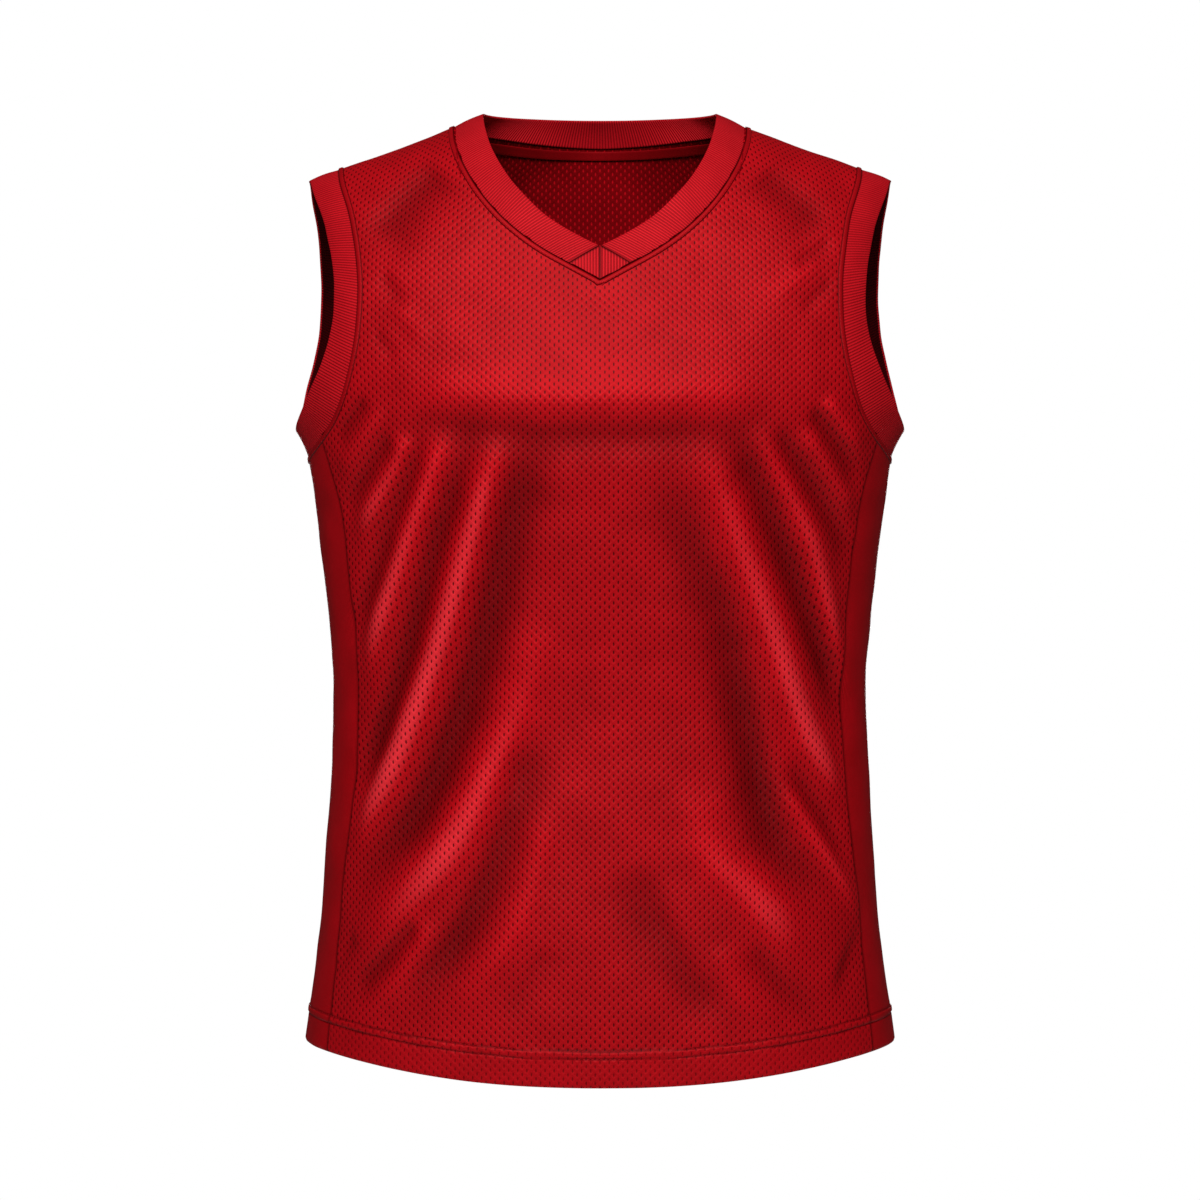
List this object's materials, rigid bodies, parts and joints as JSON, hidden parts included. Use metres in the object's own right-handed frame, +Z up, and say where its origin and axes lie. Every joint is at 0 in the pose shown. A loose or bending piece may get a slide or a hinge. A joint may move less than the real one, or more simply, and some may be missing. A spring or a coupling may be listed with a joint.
{
  "type": "sleeveless flag football jersey, hollow as worn",
  "caption": "Sleeveless V-neck mesh sports jersey with smooth side panels and ribbed neck and armholes, hollow and filled out as worn.",
  "frame": {"origin": "midway between the two points where the shoulder seams meet the collar, where the wearer's shoulders hold it", "axes": "+Z up the body, -Y out of the front, +X towards the wearer's left; metres"},
  "size_m": [0.4474, 0.2459, 0.7048],
  "materials": {
    "mesh_cloth": "red polyester eyelet mesh, faint sheen",
    "plain_cloth": "red plain polyester knit",
    "rib_cloth": "red rib knit, matt"
  },
  "bodies": {
    "root": {"front_panel": "mesh_cloth", "back_panel": "mesh_cloth", "side_panel_left": "plain_cloth", "side_panel_right": "plain_cloth", "armhole_rib_left": "rib_cloth", "armhole_rib_right": "rib_cloth", "collar": "rib_cloth", "collar_insert_left": "rib_cloth", "collar_insert_right": "rib_cloth", "back_neck_tape": "rib_cloth"}
  },
  "joints": []
}
